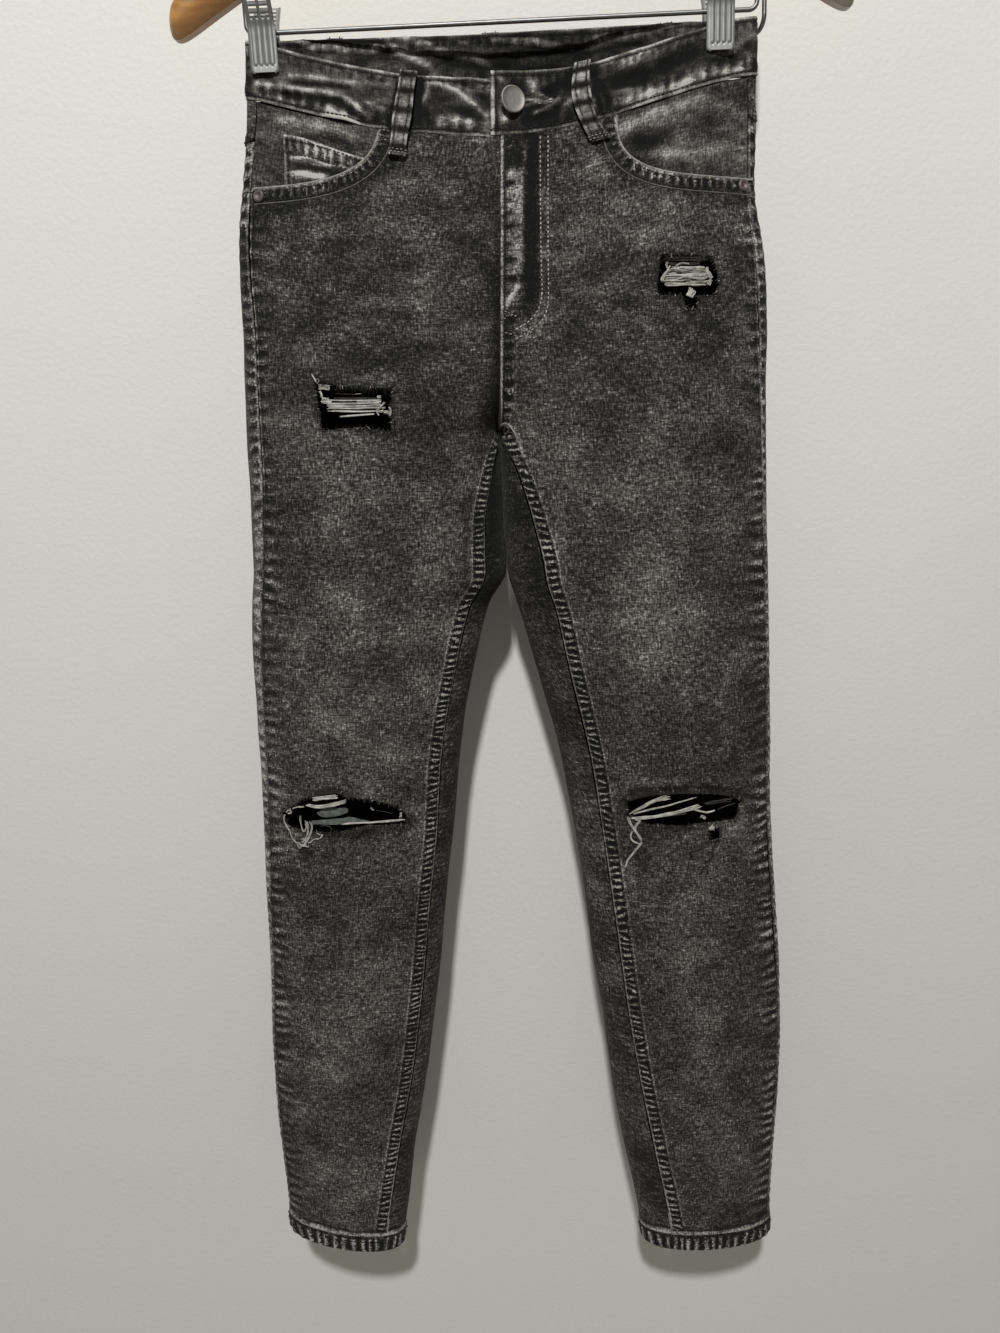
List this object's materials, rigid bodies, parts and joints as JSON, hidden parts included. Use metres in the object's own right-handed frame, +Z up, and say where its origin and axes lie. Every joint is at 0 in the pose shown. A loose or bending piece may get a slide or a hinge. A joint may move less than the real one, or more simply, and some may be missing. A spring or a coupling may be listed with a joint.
{
  "type": "ripped jeans on a wooden clip hanger",
  "caption": "Ripped skinny jeans in washed charcoal denim with frayed thighs and knees, hung flat by the waistband from the clips of a wooden trouser hanger.",
  "frame": {"origin": "inside top of the hanger's hook, where a rail or nail holds it", "axes": "+Z up, front of the jeans faces -Y, the wearer's left side is at +X"},
  "size_m": [0.4448, 0.0967, 1.1045],
  "materials": {
    "denim": "charcoal stretch denim twill, acid washed, worn pale on ridges, stitched in black, with white cotton weft where it is torn",
    "denim_facing": "the same denim, less worn, inside the pocket mouths",
    "button_metal": "warm grey, satin",
    "rivet_metal": "dulled copper ring",
    "hanger_wood": "honey coloured, satin lacquer",
    "hook_metal": "polished",
    "bar_steel": "zinc plated wire",
    "clip_steel": "zinc plated sheet, matt"
  },
  "bodies": {
    "root": {"back_left": "denim", "back_pocket_left": "denim", "back_pocket_right": "denim", "back_right": "denim", "button": "button_metal", "clip_left_front": "clip_steel", "clip_left_rear": "clip_steel", "clip_left_spring": "clip_steel", "clip_right_front": "clip_steel", "clip_right_rear": "clip_steel", "clip_right_spring": "clip_steel", "coin_pocket": "denim_facing", "facing_left": "denim_facing", "facing_right": "denim_facing", "front_left": "denim", "front_right": "denim", "hanger_bar": "bar_steel", "hanger_end_wire": "bar_steel", "hanger_hook": "hook_metal", "hanger_wood": "hanger_wood", "hem_left": "denim", "hem_right": "denim", "loop_back_centre": "denim", "loop_back_left": "denim", "loop_back_right": "denim", "loop_front_left": "denim", "loop_front_right": "denim", "rivet_left": "rivet_metal", "rivet_right": "rivet_metal", "waistband": "denim", "yoke_left": "denim", "yoke_right": "denim"}
  },
  "joints": []
}
